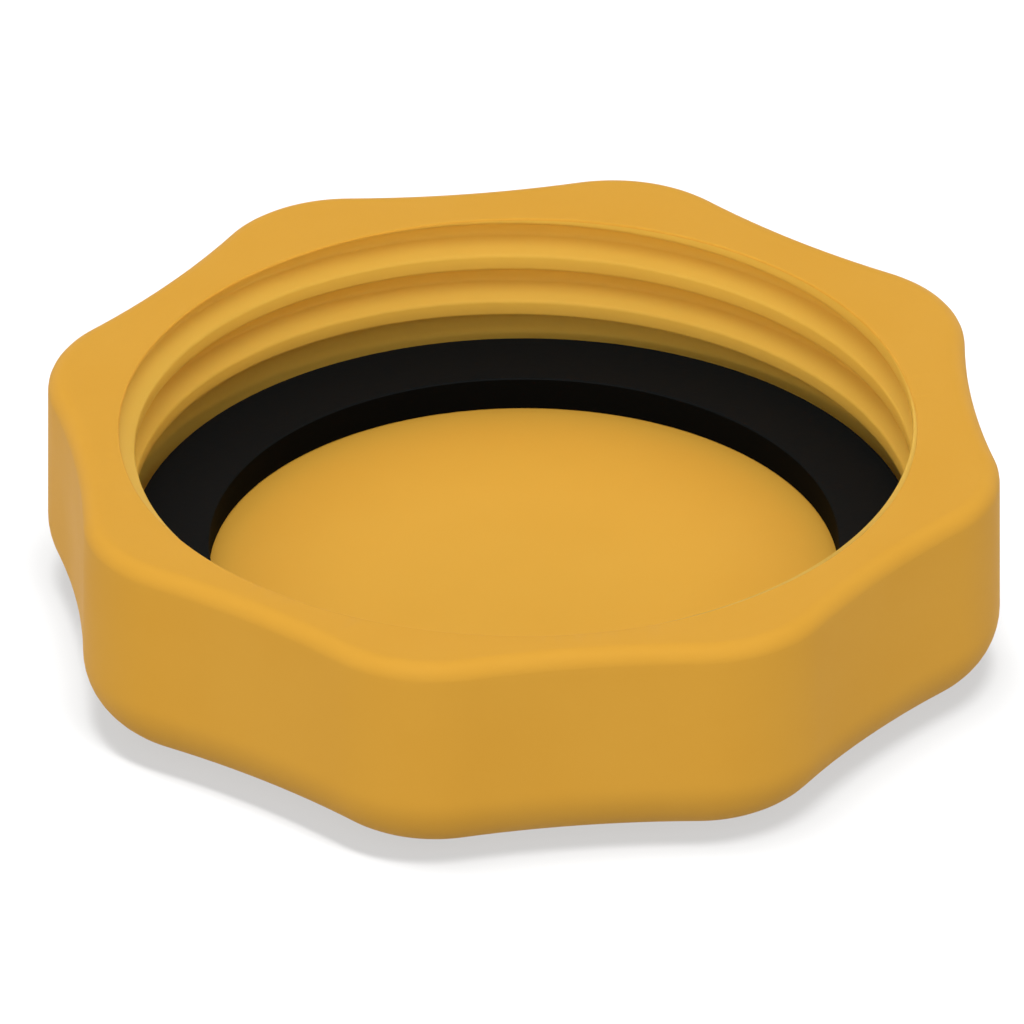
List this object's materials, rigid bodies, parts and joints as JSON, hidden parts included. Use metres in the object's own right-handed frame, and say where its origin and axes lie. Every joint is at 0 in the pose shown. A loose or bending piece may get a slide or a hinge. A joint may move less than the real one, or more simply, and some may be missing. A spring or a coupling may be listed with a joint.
{
  "type": "brake fluid reservoir cap",
  "caption": "Screw cap with a lobed grip, an internal thread and a flat rubber sealing ring, lying with its open side up.",
  "frame": {"origin": "centre of the closed face, on which the cap lies", "axes": "+Z along the cap's axis to the open mouth; the middle of one lobe points along +X"},
  "size_m": [0.055, 0.055, 0.013],
  "materials": {
    "cap_plastic": "ochre-yellow moulded plastic, satin",
    "ring_rubber": "black rubber, matt"
  },
  "bodies": {
    "root": {"cap": "cap_plastic", "sealing_ring": "ring_rubber"}
  },
  "joints": []
}
